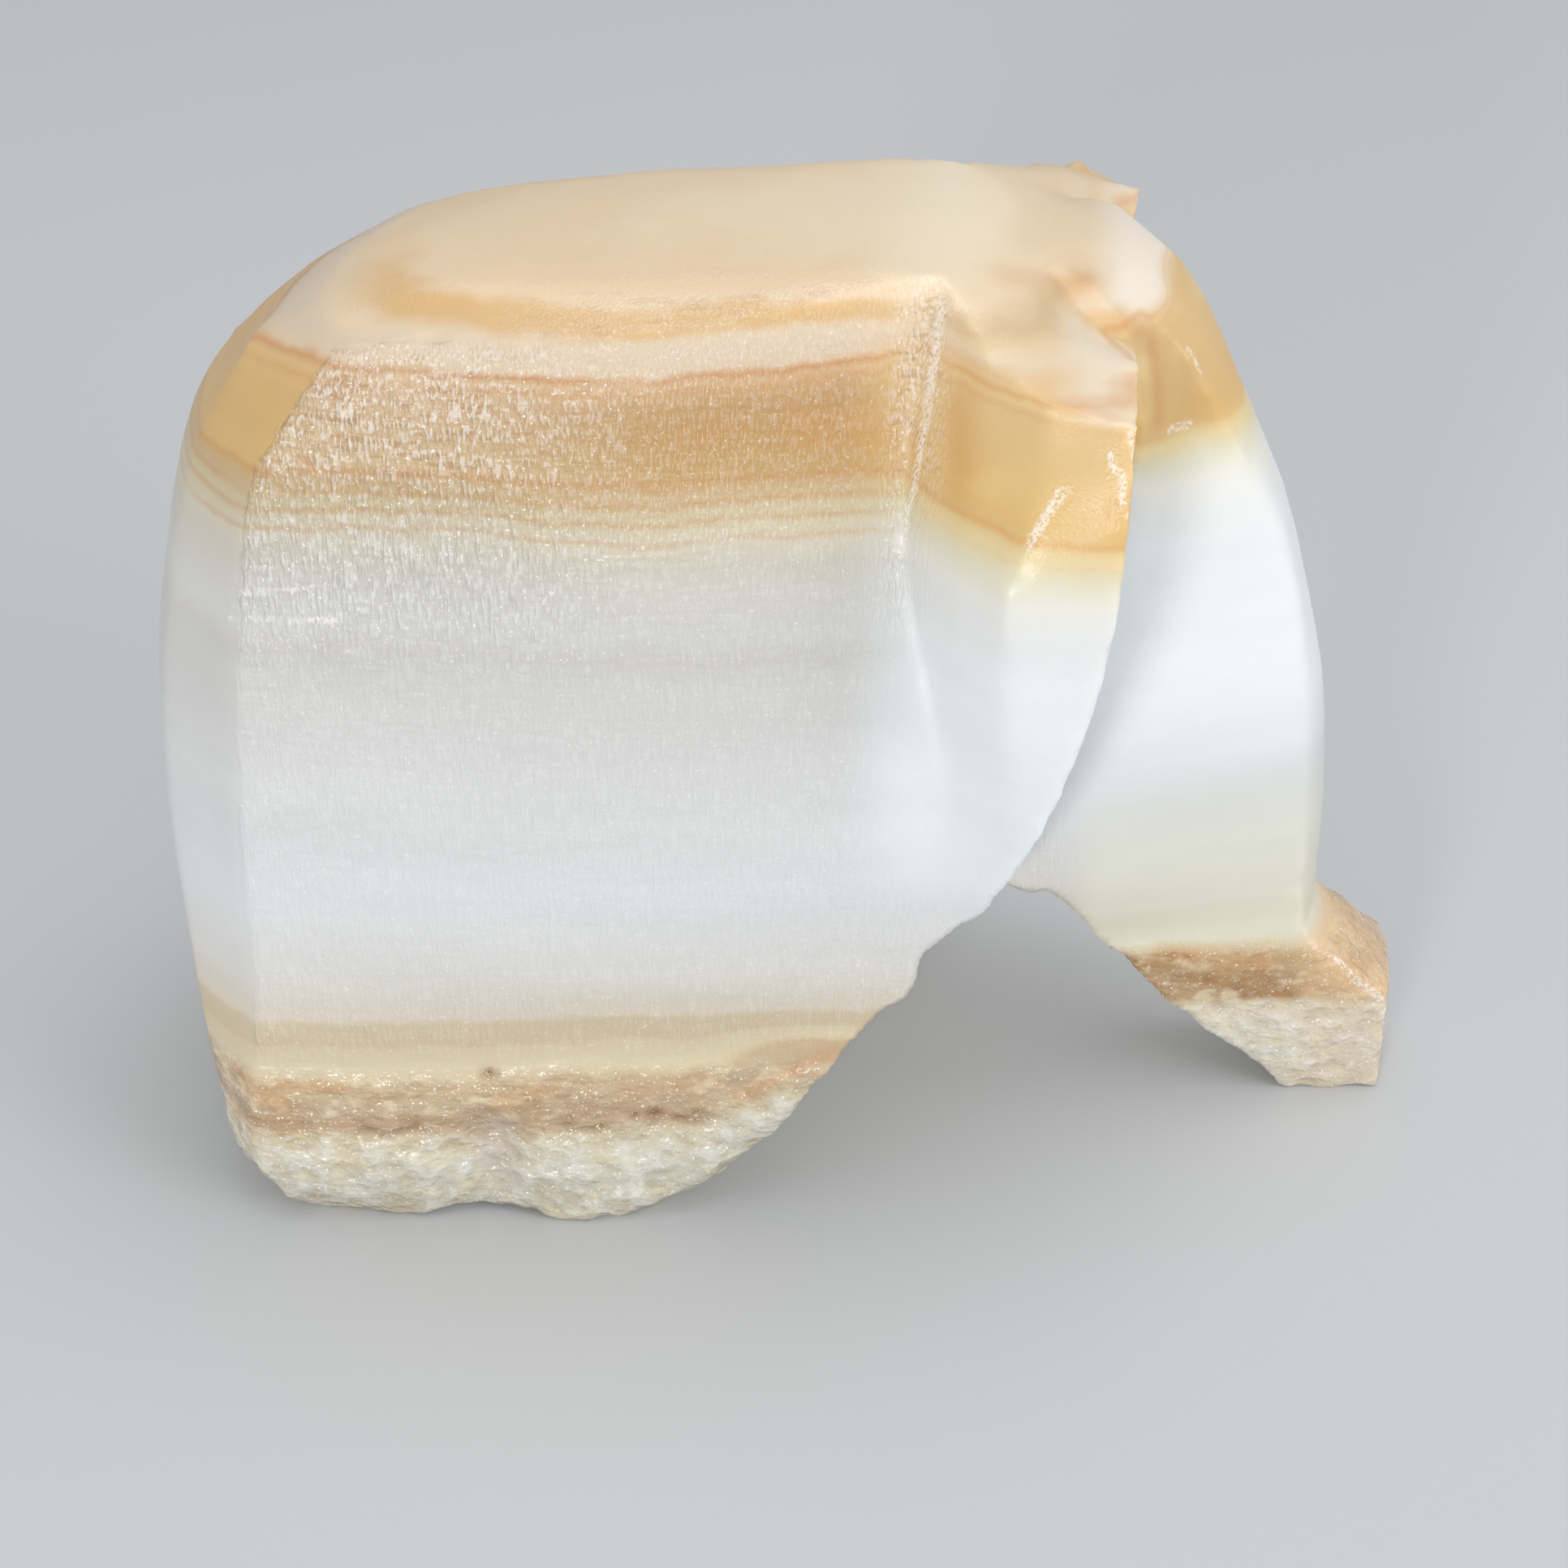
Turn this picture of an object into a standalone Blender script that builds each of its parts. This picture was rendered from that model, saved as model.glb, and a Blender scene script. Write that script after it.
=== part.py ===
"""A small elephant carved from one piece of banded onyx.

The block was sawn with its stone layers lying level, then ground to shape.
The carving is made the same way here. The body with its ears rises from the feet
to a ground upper surface, the head with its trunk is a thin plate, and the two
are joined. The part is in metres, +Z is up, the trunk is at +X and the origin is
under the middle of the carving.
"""

import bmesh
import bpy
from mathutils import Vector

# Driving sizes of the finished carving.
LENGTH = 0.0520
HEIGHT = 0.0404
BODY_WIDTH = 0.0208
EAR_SPAN = 0.0272
TRUNK_THICKNESS = 0.0050

# The head and ears were cut a little askew: run along X for each unit across.
FRONT_SKEW = 0.12

# Height of the gap under the body between the hind and the fore foot.
ARCH_HEIGHT = 0.0009

# Height step between two outlines, parts across the body, along a side and a cheek,
# and halvings of the height where a wall is sought under the upper surface.
OUTLINE_STEP = 0.0015
PARTS_ACROSS = 12
SIDE_PARTS = 10
CHEEK_PARTS = 5
HALVINGS = 24

# Rows behind which the faces over the body follow the round of the rump.
LAG_ROWS = 5

# The carving lines below are drawn in millimetres on a carving of this size, and
# the driving sizes stretch them. Drawn X runs from the rump to the trunk tip.
MM = 0.001
DRAWN_REAR = -24.9
DRAWN_FRONT = 27.1
DRAWN_HEIGHT = 40.4
DRAWN_BODY_WIDTH = 20.8
DRAWN_EAR_SPAN = 27.2
DRAWN_TRUNK_THICKNESS = 5.0
DRAWN_SKEW_START = -2.0
DRAWN_SKEW_FULL = 8.0

# Lines of the body, each as (height, place along X).
REAR_X = ((0, -22.4), (2, -23.9), (5, -24.6), (10, -24.9), (19, -24.9), (24, -24.4), (29, -23.2),
          (32, -22.3), (33.2, -21.85), (34.5, -21.0), (35.6, -19.95), (37, -18.4), (38.3, -16.8),
          (42, -12.0))
RUMP_X = ((0, -21.2), (2, -22.8), (4, -23.3), (8.3, -23.5), (19, -23.5), (24, -23.1), (28, -22.4),
          (32.1, -21.4), (33.7, -20.7), (37.5, -18.4), (39, -17.2), (42, -14.0))
RIDGE_X = ((0, -19.4), (2, -21.0), (4, -21.7), (8.3, -21.2), (12, -20.6), (19, -20.3), (24, -20.0),
           (28, -19.5), (33.7, -18.3), (35.8, -16.9), (37.5, -15.6), (42, -12.2))
CREASE_X = ((0, -8.5), (4, -4.0), (8, -0.5), (12, 1.8), (15, 3.5), (17, 5.2), (19.6, 6.6),
            (22, 7.0), (25, 6.4), (28, 5.6), (32.1, 4.8), (33.7, 4.8), (37.5, 5.2), (42, 6.4))
EAR_BACK_X = ((0, -6.5), (4, -2.0), (8, 1.2), (12, 3.6), (15, 5.8), (17, 7.8), (19, 9.0), (22, 9.4),
              (28, 9.0), (32.1, 8.9), (33.7, 9.4), (37.5, 9.8), (42, 9.8))
STEP_X = ((0, -5.2), (1.4, -3.6), (2.6, -2.2), (4.4, -0.5), (6.7, 1.3), (8.2, 2.6), (11.7, 4.9),
          (13.5, 6.0), (14.9, 7.2), (15.8, 8.2), (18.3, 9.8), (21.5, 10.9), (26.7, 12.0),
          (31, 12.6), (42, 12.8))

# Lines of the body, each as (height, half width there).
RUMP_Y = ((0, 7.6), (4, 8.1), (12, 8.0), (19, 7.2), (24, 6.4), (32, 5.4), (37.5, 4.9), (42, 4.6))
RIDGE_Y = ((0, 9.6), (2, 10.3), (8.3, 10.4), (12, 10.4), (19, 10.0), (24, 9.4), (28, 8.9),
           (33.7, 8.0), (37.5, 7.4), (39, 6.5), (42, 4.2))
SIDE_BULGE = ((0, 0.5), (12, 0.3), (24, 0.7), (32, 1.0), (37.5, 1.2), (42, 1.0))
CREASE_Y = ((0, 10.4), (2, 10.5), (4, 10.1), (8.3, 9.7), (20, 9.9), (28, 9.3), (32.1, 8.6),
            (33.7, 7.9), (37.5, 6.3), (42, 4.4))
EAR_BACK_Y = ((0, 10.0), (2, 10.3), (4, 10.0), (8.3, 9.7), (17, 10.1), (19, 10.5), (22, 11.5),
              (25, 12.5), (28, 13.2), (32.1, 13.5), (33.7, 13.0), (37.5, 10.8), (42, 9.4))
EAR_EDGE_Y = ((0, 9.4), (4, 9.7), (13.5, 9.9), (18.3, 10.6), (21.5, 11.6), (24.2, 12.4),
              (28.6, 13.3), (31, 13.6), (33.6, 13.3), (35.5, 12.9), (36.9, 12.2), (38.5, 11.2),
              (42, 9.6))

# Rounding of the hollow behind an ear and of the ear's rim, as shares along X and Y.
EAR_ROOT_SHARES = (0.55, 0.62)
EAR_RIM_SHARES = (0.5, 0.55)

# Lines of the head and trunk, each as (height, place along X).
FRONT_X = ((0, 27.1), (2, 27.05), (5.5, 26.8), (6.1, 26.1), (7, 25.0), (8.2, 23.7), (9.3, 23.0),
           (13.1, 22.8), (16.5, 22.5), (19.7, 22.0), (22.5, 21.3), (25.5, 20.4), (28.4, 19.4),
           (30.4, 18.5), (32.1, 17.6), (34.5, 16.5), (35.8, 15.8), (37.5, 14.3), (38.3, 13.5),
           (38.9, 12.5), (39.3, 11.2), (39.5, 9.5))
FACE_X = ((0, 26.9), (5.5, 26.5), (6.1, 25.7), (7, 24.6), (8.2, 23.1), (9.3, 22.3), (15.5, 21.7),
          (19.5, 21.2), (23.3, 20.6), (27, 19.7), (29, 18.9), (32.1, 16.8), (35.8, 14.9),
          (37.5, 13.5), (38.9, 11.8), (39.5, 9.2))
CHEEK_X = ((0, 13.5), (12, 13.0), (20, 13.3), (33.7, 13.3), (37.5, 12.5), (38.9, 11.0), (39.5, 8.5))
UNDER_X = ((0, 22.8), (0.3, 22.4), (1.5, 21.4), (4, 18.6), (6.3, 16.2), (9.3, 13.9), (11.2, 12.6),
           (12.6, 11.4), (13.1, 9.7), (13.6, 4.0), (20, 6.0), (39.5, 6.0))

# Lines of the head and trunk, each as (height, half thickness there).
FACE_Y = ((0, 2.5), (8.2, 2.4), (20, 2.55), (32.1, 2.6), (35.8, 3.2), (37.5, 3.2), (38.9, 2.5),
          (39.5, 1.4))
CHEEK_Y = ((0, 2.7), (8.3, 3.0), (12.5, 4.2), (20, 4.7), (31, 5.0), (33.7, 5.7), (37.5, 4.9),
           (38.9, 3.6), (39.5, 2.4))
FAR_CHEEK_Y = ((0, 0.0), (28, 0.0), (34, 1.0), (37.5, 1.2), (39.5, 0.5))
CHEEK_HOLLOW = ((0, 1.0), (30, 1.0), (32.1, 1.3), (33.7, 2.6), (36, 2.0), (37.5, 1.2), (39.5, 1.0))

# Rounding of the front of the trunk, as shares along X and Y, and heights of the top
# of the gap behind the trunk and of the brow.
TRUNK_FRONT_SHARES = (0.75, 0.5)
GAP_TOP = 13.6
BROW = 37.5

# The upper surface, as (place along X, height) over the middle, over the foot of the
# head and over the top edge of the ears, and as (place along X, fall across the side).
CROWN_Z = ((-27, 28.0), (-22, 34.6), (-19.6, 37.2), (-17.2, 38.5), (-14, 39.5), (-10, 39.8),
           (-2, 40.1), (4.5, 40.4), (7, 40.1), (9, 39.6), (10.5, 38.9), (12.3, 37.0), (30, 37.0))
SHOULDER_Z = ((-27, 27.6), (-22, 33.4), (-19.6, 36.5), (-18.4, 37.6), (-16, 38.4), (-14, 39.1),
              (-10, 39.5), (-2, 39.7), (4.5, 40.1), (7, 39.7), (8.5, 39.3), (9.8, 38.8),
              (12.2, 37.5), (13, 37.3), (30, 37.3))
EAR_TOP_Z = ((-27, 27.0), (-22, 32.8), (-19.6, 35.8), (-18.4, 36.8), (-16, 37.8), (-14, 38.5),
             (-2, 39.0), (4, 39.2), (8.5, 39.1), (9.8, 38.85), (12.9, 38.0), (30, 38.0))
SIDE_FALL = ((-27, 0.4), (4, 0.4), (8, 0.4), (9.8, 0.26), (12.9, 0.08), (30, 0.08))
SHOULDER_Y = 5.4
EAR_TOP_Y = 7.0

# Slopes by which the rump falls towards the far side, from a place across, and the
# far ear beyond its inner edge, each as (place along X, slope).
FAR_RUMP_Y = -5.0
FAR_RUMP_FALL = ((-27, 0.21), (-20, 0.2), (-18.1, 0.17), (-15.7, 0.11), (-11.2, 0.05),
                 (-7, 0.02), (-4, 0.0), (30, 0.0))
FAR_EAR_FALL = ((-27, 0.0), (10.0, 0.0), (12.9, 0.3), (30, 0.3))

# The gap between the feet, along X, and the hollow that runs up the crust over it.
ARCH_MIDDLE = -12.4
ARCH_HALF_LENGTH = 3.2
CRUST_HOLLOW = ((0, 1.1), (3, 0.8), (5.5, 0.35), (7.5, 0.0), (42, 0.0))


def along(line, t):
    """Value at t of the smooth curve through the points of a line, with no overshoot."""
    last = len(line) - 1
    if t <= line[0][0]:
        return line[0][1]
    if t >= line[last][0]:
        return line[last][1]
    slopes = [(b[1] - a[1]) / (b[0] - a[0]) for a, b in zip(line, line[1:])]
    tangents = [slopes[0]]
    for before, after in zip(slopes, slopes[1:]):
        turning = before * after <= 0
        tangents.append(0.0 if turning else 2 * before * after / (before + after))
    tangents.append(slopes[-1])
    i = max(k for k in range(last) if line[k][0] <= t)
    span = line[i + 1][0] - line[i][0]
    u = (t - line[i][0]) / span
    start = line[i][1] * (1 + 2 * u) * (1 - u) ** 2
    end = line[i + 1][1] * u * u * (3 - 2 * u)
    bend = span * (tangents[i] * u * (1 - u) ** 2 - tangents[i + 1] * u * u * (1 - u))
    return start + end + bend


def blend(a, b, share):
    """The value at a share of the way from a to b."""
    return a + (b - a) * share


def ease(t):
    """A smooth step from 0 to 1."""
    t = min(1.0, max(0.0, t))
    return t * t * (3 - 2 * t)


def place(x, y, z):
    """A drawn point at its real place, stretched to the driving sizes and set askew."""
    skew = FRONT_SKEW * ease((x - DRAWN_SKEW_START) / (DRAWN_SKEW_FULL - DRAWN_SKEW_START))
    middle = (DRAWN_REAR + DRAWN_FRONT) / 2
    stretch = LENGTH / ((DRAWN_FRONT - DRAWN_REAR) * MM)
    rise = HEIGHT / (DRAWN_HEIGHT * MM)
    return Vector(((x - middle) * stretch * MM + skew * y * MM, y * MM, z * rise * MM))


def steps(low, high, step):
    """Even places from low to high, about a step apart."""
    count = max(1, round((high - low) / step))
    return [blend(low, high, i / count) for i in range(count + 1)]


def walls(bm, rings):
    """Faces between level rings with equal numbers of points, bottom first."""
    for low, high in zip(rings, rings[1:]):
        for i, vert in enumerate(low):
            j = (i + 1) % len(low)
            bm.faces.new((vert, low[j], high[j], high[i]))


def finish(name, bm):
    """Make an object from a mesh of triangles with its faces turned outwards."""
    bmesh.ops.triangulate(bm, faces=bm.faces[:])
    bmesh.ops.recalc_face_normals(bm, faces=bm.faces[:])
    mesh = bpy.data.meshes.new(name)
    bm.to_mesh(mesh)
    bm.free()
    obj = bpy.data.objects.new(name, mesh)
    bpy.context.scene.collection.objects.link(obj)
    return obj


def side_points(z):
    """Points of a side and its ear at a height, from the rump corner to the ear edge."""
    widen = BODY_WIDTH / (DRAWN_BODY_WIDTH * MM)
    flare = EAR_SPAN / (DRAWN_EAR_SPAN * MM)
    ridge_x, ridge_y = along(RIDGE_X, z), along(RIDGE_Y, z) * widen
    crease_x, crease_y = along(CREASE_X, z), along(CREASE_Y, z) * widen
    back_x, back_y = along(EAR_BACK_X, z), along(EAR_BACK_Y, z) * flare
    step_x, edge_y = along(STEP_X, z), along(EAR_EDGE_Y, z) * flare
    points = [(along(RUMP_X, z), along(RUMP_Y, z) * widen)]
    for share in steps(0.0, 1.0, 1 / SIDE_PARTS):
        x = blend(ridge_x, crease_x, share)
        bulge = along(SIDE_BULGE, z) * 4 * share * (1 - share)
        hollow = along(CRUST_HOLLOW, z) * ease(1 - abs(x - ARCH_MIDDLE) / ARCH_HALF_LENGTH)
        points.append((x, blend(ridge_y, crease_y, share) + bulge - hollow))
    x_share, y_share = EAR_ROOT_SHARES
    points.append((blend(crease_x, back_x, x_share), blend(crease_y, back_y, y_share)))
    points.append((back_x, back_y))
    x_share, y_share = EAR_RIM_SHARES
    points.append((blend(back_x, step_x, x_share), blend(back_y, edge_y, y_share)))
    points.append((step_x, edge_y))
    return points


def upper_height(x, y):
    """Height of the upper surface of the body at a place along and across."""
    side = abs(y)
    fall = along(FAR_RUMP_FALL, x) * max(0.0, y - FAR_RUMP_Y)
    fall += along(FAR_EAR_FALL, x) * max(0.0, y - EAR_TOP_Y)
    if side <= SHOULDER_Y:
        share = (side / SHOULDER_Y) ** 2
        return blend(along(CROWN_Z, x), along(SHOULDER_Z, x), share) - fall
    if side <= EAR_TOP_Y:
        share = (side - SHOULDER_Y) / (EAR_TOP_Y - SHOULDER_Y)
        return blend(along(SHOULDER_Z, x), along(EAR_TOP_Z, x), share) - fall
    return along(EAR_TOP_Z, x) - along(SIDE_FALL, x) * (side - EAR_TOP_Y) - fall


def lower_height(x):
    """Height of the underside, level under each foot with a gap between them."""
    rise = ARCH_HEIGHT / MM
    return rise * ease(1 - abs(x - ARCH_MIDDLE) / ARCH_HALF_LENGTH)


def column(index, across):
    """Points up a wall to the upper surface. Across runs from -1, near, to 1, far."""
    def spot(z):
        x, y = side_points(z)[index]
        if index == 0:
            x = blend(along(REAR_X, z), x, across * across)
        return x, across * y

    low, high = DRAWN_HEIGHT / 2, DRAWN_HEIGHT
    for _ in range(HALVINGS):
        middle = (low + high) / 2
        if upper_height(*spot(middle)) > middle:
            low = middle
        else:
            high = middle
    foot = lower_height(spot(0.0)[0])
    parts = round(DRAWN_HEIGHT * MM / OUTLINE_STEP)
    return [(*spot(z), z) for z in steps(foot, low, (low - foot) / parts)]


def cover(bm, ring, ends, height):
    """Rows of faces across the body between its walls, at heights of a surface."""
    rear, near, far = ends
    count = len(near)
    row = [ring[0]] + ring[1 - len(rear):][::-1]
    for i in range(1, count):
        after = ring[count - 1:count + len(rear) - 1]
        if i < count - 1:
            after = [ring[i]]
            for j in range(1, len(rear) - 1):
                share = j / (len(rear) - 1)
                lag = rear[j][0] - blend(near[0][0], far[0][0], share)
                x = blend(near[i][0], far[i][0], share) + lag * max(0.0, 1 - i / LAG_ROWS)
                y = blend(near[i][1], far[i][1], share)
                after.append(bm.verts.new(place(x, y, height(x, y))))
            after.append(ring[2 * count + len(rear) - 3 - i])
        for j in range(len(after) - 1):
            bm.faces.new((row[j], after[j], after[j + 1], row[j + 1]))
        row = after


def body():
    """The body and ears, closed above and below by rows of faces across them."""
    count = len(side_points(0.0))
    across = steps(-1.0, 1.0, 2 / PARTS_ACROSS)
    near = [column(i, -1.0) for i in range(count)]
    far = [column(i, 1.0) for i in range(count)]
    rear = [column(0, share) for share in across]
    front = [column(count - 1, share) for share in across]
    around = near + front[1:-1] + far[::-1] + rear[-2:0:-1]
    bm = bmesh.new()
    rings = [[bm.verts.new(place(*points[k])) for points in around] for k in range(len(near[0]))]
    walls(bm, rings)
    for k, height in ((0, lambda x, y: lower_height(x)), (-1, upper_height)):
        ends = [[points[k] for points in side] for side in (rear, near, far)]
        cover(bm, rings[k], ends, height)
    return finish("elephant", bm)


def head_outline(z):
    """The level outline of head and trunk at a height, from inside the body."""
    thicken = TRUNK_THICKNESS / (DRAWN_TRUNK_THICKNESS * MM)
    rear, cheek_x, cheek_y = along(UNDER_X, z), along(CHEEK_X, z), along(CHEEK_Y, z)
    face_x, face_y, front = along(FACE_X, z), along(FACE_Y, z), along(FRONT_X, z)
    near = [(rear, 0.0, z)]
    first = max(rear, cheek_x)
    for x in [rear] + steps(first, face_x, (face_x - first) / CHEEK_PARTS):
        share = min(1.0, max(0.0, (face_x - x) / (face_x - cheek_x)))
        half = blend(face_y, cheek_y, share ** along(CHEEK_HOLLOW, z))
        near.append((x, -half * thicken, z))
    x_share, y_share = TRUNK_FRONT_SHARES
    near.append((blend(face_x, front, x_share), -y_share * face_y * thicken, z))
    near.append((front, 0.0, z))
    fuller = 1 + along(FAR_CHEEK_Y, z) / cheek_y
    return near + [(x, -y * fuller, z) for x, y, z in reversed(near[1:-1])]


def head():
    """The head and trunk, a thin plate that stands on the trunk tip."""
    corners = {z for z, x in UNDER_X + FRONT_X if z < GAP_TOP or z > BROW}
    levels = corners | set(steps(GAP_TOP, BROW, OUTLINE_STEP / MM))
    bm = bmesh.new()
    rings = [[bm.verts.new(place(*p)) for p in head_outline(z)] for z in sorted(levels)]
    walls(bm, rings)
    bm.faces.new(list(reversed(rings[0])))
    bm.faces.new(rings[-1])
    return finish("head_and_trunk", bm)


def onyx():
    """Pale banded onyx, ground and waxed."""
    material = bpy.data.materials.new("banded_onyx")
    material.use_nodes = True
    shader = material.node_tree.nodes["Principled BSDF"]
    shader.inputs["Base Color"].default_value = (0.82, 0.72, 0.58, 1.0)
    shader.inputs["Roughness"].default_value = 0.38
    shader.inputs["Metallic"].default_value = 0.0
    return material


def main():
    for obj in list(bpy.data.objects):
        bpy.data.objects.remove(obj, do_unlink=True)
    elephant = body()
    plate = head()
    plate.hide_render = True
    plate.display_type = "WIRE"
    union = elephant.modifiers.new("head_and_trunk", "BOOLEAN")
    union.operation = "UNION"
    union.solver = "EXACT"
    union.object = plate
    elephant.data.materials.append(onyx())


main()
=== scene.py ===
import math

import bmesh
import bpy
import numpy as np
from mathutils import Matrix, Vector, noise
from mathutils.kdtree import KDTree


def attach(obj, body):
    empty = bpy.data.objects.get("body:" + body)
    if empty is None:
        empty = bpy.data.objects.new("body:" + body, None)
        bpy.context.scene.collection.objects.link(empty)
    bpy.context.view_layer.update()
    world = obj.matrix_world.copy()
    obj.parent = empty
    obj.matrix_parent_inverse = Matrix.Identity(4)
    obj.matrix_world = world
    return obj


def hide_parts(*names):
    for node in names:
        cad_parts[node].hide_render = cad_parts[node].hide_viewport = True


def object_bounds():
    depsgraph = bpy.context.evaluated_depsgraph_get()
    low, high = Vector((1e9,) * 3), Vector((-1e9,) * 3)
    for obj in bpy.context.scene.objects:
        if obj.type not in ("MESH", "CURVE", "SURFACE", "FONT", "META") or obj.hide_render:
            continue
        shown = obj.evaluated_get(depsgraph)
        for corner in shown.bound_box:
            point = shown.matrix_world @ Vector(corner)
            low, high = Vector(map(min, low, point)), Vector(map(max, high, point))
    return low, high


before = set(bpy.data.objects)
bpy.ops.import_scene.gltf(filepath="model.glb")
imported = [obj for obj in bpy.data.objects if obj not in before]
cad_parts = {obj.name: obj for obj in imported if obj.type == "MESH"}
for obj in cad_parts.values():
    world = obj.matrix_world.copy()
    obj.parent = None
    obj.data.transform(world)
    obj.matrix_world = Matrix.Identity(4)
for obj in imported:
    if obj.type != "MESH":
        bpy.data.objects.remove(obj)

bl_info = {
    "name": "Onyx Elephant Carving",
    "version": (1, 0, 0),
    "blender": (4, 5, 0),
    "location": "View3D > Sidebar > Onyx",
    "description": "A small elephant ground from one piece of banded onyx",
    "category": "Object",
}

CAD_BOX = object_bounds()
NODE = "elephant"
MM = 0.001

# Points of the solid nearer than this are one point.
MERGE_DISTANCE = 0.001 * MM
# Edges sharper than this stay crisp. Where the ears grow out of the body, between two
# heights in mm, only edges sharper than the second angle do.
CRISP_ANGLE = math.radians(28)
CRISP_EAR_ANGLE = math.radians(60)
EAR_LEVELS = (12.0, 31.0)
# Stone nearer to a crisp edge than this isn't smoothed with the faces, in mm.
EDGE_MARGIN = 0.35
# Halvings of the cube that the carving is meshed anew in.
OCTREE_DEPTH = 8
# Room kept inside the solid's box, in mm.
BOX_MARGIN = 0.01
# The head and ears were cut a little askew: run along X for each unit across.
FRONT_SKEW = 0.12
# Place along X of the hollow between the two near feet, in mm.
HOLLOW_X = -12.9

# The camera: its focal length and picture width in pixels, its sensor in mm, and the
# middle of its view. The lights point at the middle of the body.
FOCAL_PIXELS = 2834.0
PICTURE_PIXELS = 1932.0
SENSOR = 36.0
VIEW_MIDDLE = (-0.0011, 0.0, 0.014994)
BODY_MIDDLE = (0.0, 0.0, 0.015)

# Zones of the surface that the carving marks and the stone's material reads: the height
# in the stone's layers, the thin ears and head, the wheel's marks and bruises with painted
# sheen, the crust and its relief, the hollow between the feet, pits with painted shade,
# scars of gouges with painted glints, stains with painted crease shade, the faded rim of
# the top, the kicked-out tip of the trunk, the head, the pale lobe on it and the trunk.
ZONES = (
    "height", "thin", "wheel", "bruised_and_sheen", "crust", "relief", "valley", "pit_and_shade", "scar_and_glint", "stain_and_shade",
    "faded", "kick", "head", "lobe", "trunk",
)

# Layers of the stone, from the ground up, as (height in mm, hex colour). The stone was
# sawn with its layers level, so one height has one colour all round the carving.
LOWER_LAYERS = (
    (0.0, "c2b8a2"), (0.8, "bcb5a3"), (2.2, "c1bcac"), (3.3, "cbc6b6"), (4.2, "cfc6b0"),
    (4.8, "cabc9e"), (5.4, "c3a988"), (6.2, "b9a285"), (6.9, "c0aa8b"),
    (7.5, "c5ad8a"), (8.1, "d3c2a1"), (8.7, "d0c2a4"), (9.6, "cdbd9e"), (9.9, "c5b494"),
    (10.9, "c5b59a"), (11.2, "cdc2b0"), (12.0, "cbc4b7"), (12.8, "cdc9c0"), (14.0, "cfceca"),
    (15.6, "d2d2d1"), (17.5, "d2d5d6"), (20.0, "cfd0cf"),
)
THICK_LAYERS = (
    (20.0, "cfd0cf"), (22.5, "cbcbc9"), (24.5, "c9c8c5"), (26.4, "c7c6c1"), (27.6, "c4c1bb"),
    (28.6, "c8c6c1"), (30.0, "c6c3bc"), (31.2, "c4beb0"), (32.0, "cac1ac"), (33.0, "c4b592"),
    (33.9, "be9f72"), (34.3, "ba9862"), (35.4, "b59059"), (36.5, "b48f5d"), (36.9, "be9a6b"),
    (37.3, "c6a378"), (37.8, "d1bb9f"), (38.2, "d2bea6"),
    (38.6, "d6c1a4"), (38.9, "d2ad77"), (39.2, "d9b178"), (39.45, "e5cba7"), (39.8, "e3c8a3"),
    (40.1, "e4cfad"), (40.4, "e5d2b3"),
)
# The same layers in the thin ears, head and upper trunk, painted paler and bluer: painted light
# standing in for the light that shines through the thin stone.
THIN_GLOW_LAYERS = (
    (20.0, "dfe5e9"), (23.0, "e3e8eb"), (28.0, "e5eaea"), (31.0, "e1e1de"), (32.0, "e1dfd4"),
    (33.0, "d8d1b5"), (33.6, "dec999"), (34.6, "e4c581"), (36.0, "e7cd93"), (36.9, "e9d09b"),
    (37.3, "e7cf9c"), (37.8, "dcba8a"), (38.3, "ddc8a9"), (38.7, "ddc49d"), (39.1, "d2b48b"),
    (39.5, "e6cfac"), (40.4, "ead9bd"),
)
# Fine brown lines, as (height in mm, strength in the body, strength in the ears and head),
# half the width of one, and the heights that they all lie between.
LINES = (
    (32.15, 0.4, 0.0), (32.8, 0.5, 0.0), (33.4, 0.5, 0.1), (34.1, 0.55, 0.6),
    (37.05, 0.4, 0.25), (37.5, 0.95, 0.7),
)
LINE_HALF_WIDTH = 0.2
LINE_LEVELS = (31.5, 38.5)
# Pits on the near side, as (x, z, radius) in mm, and cracks, as (from x, to x, z). Both
# are dented a little and painted dark brown as painted shade inside them.
PITS = ((-12.9, 8.15, 0.3), (-6.35, 5.65, 0.4), (-7.1, 5.6, 0.28), (-4.6, 5.6, 0.22))
CRACKS = ((-18.8, -15.0, 5.05), (-10.4, -8.0, 5.15), (-6.0, -3.8, 5.3))
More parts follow.
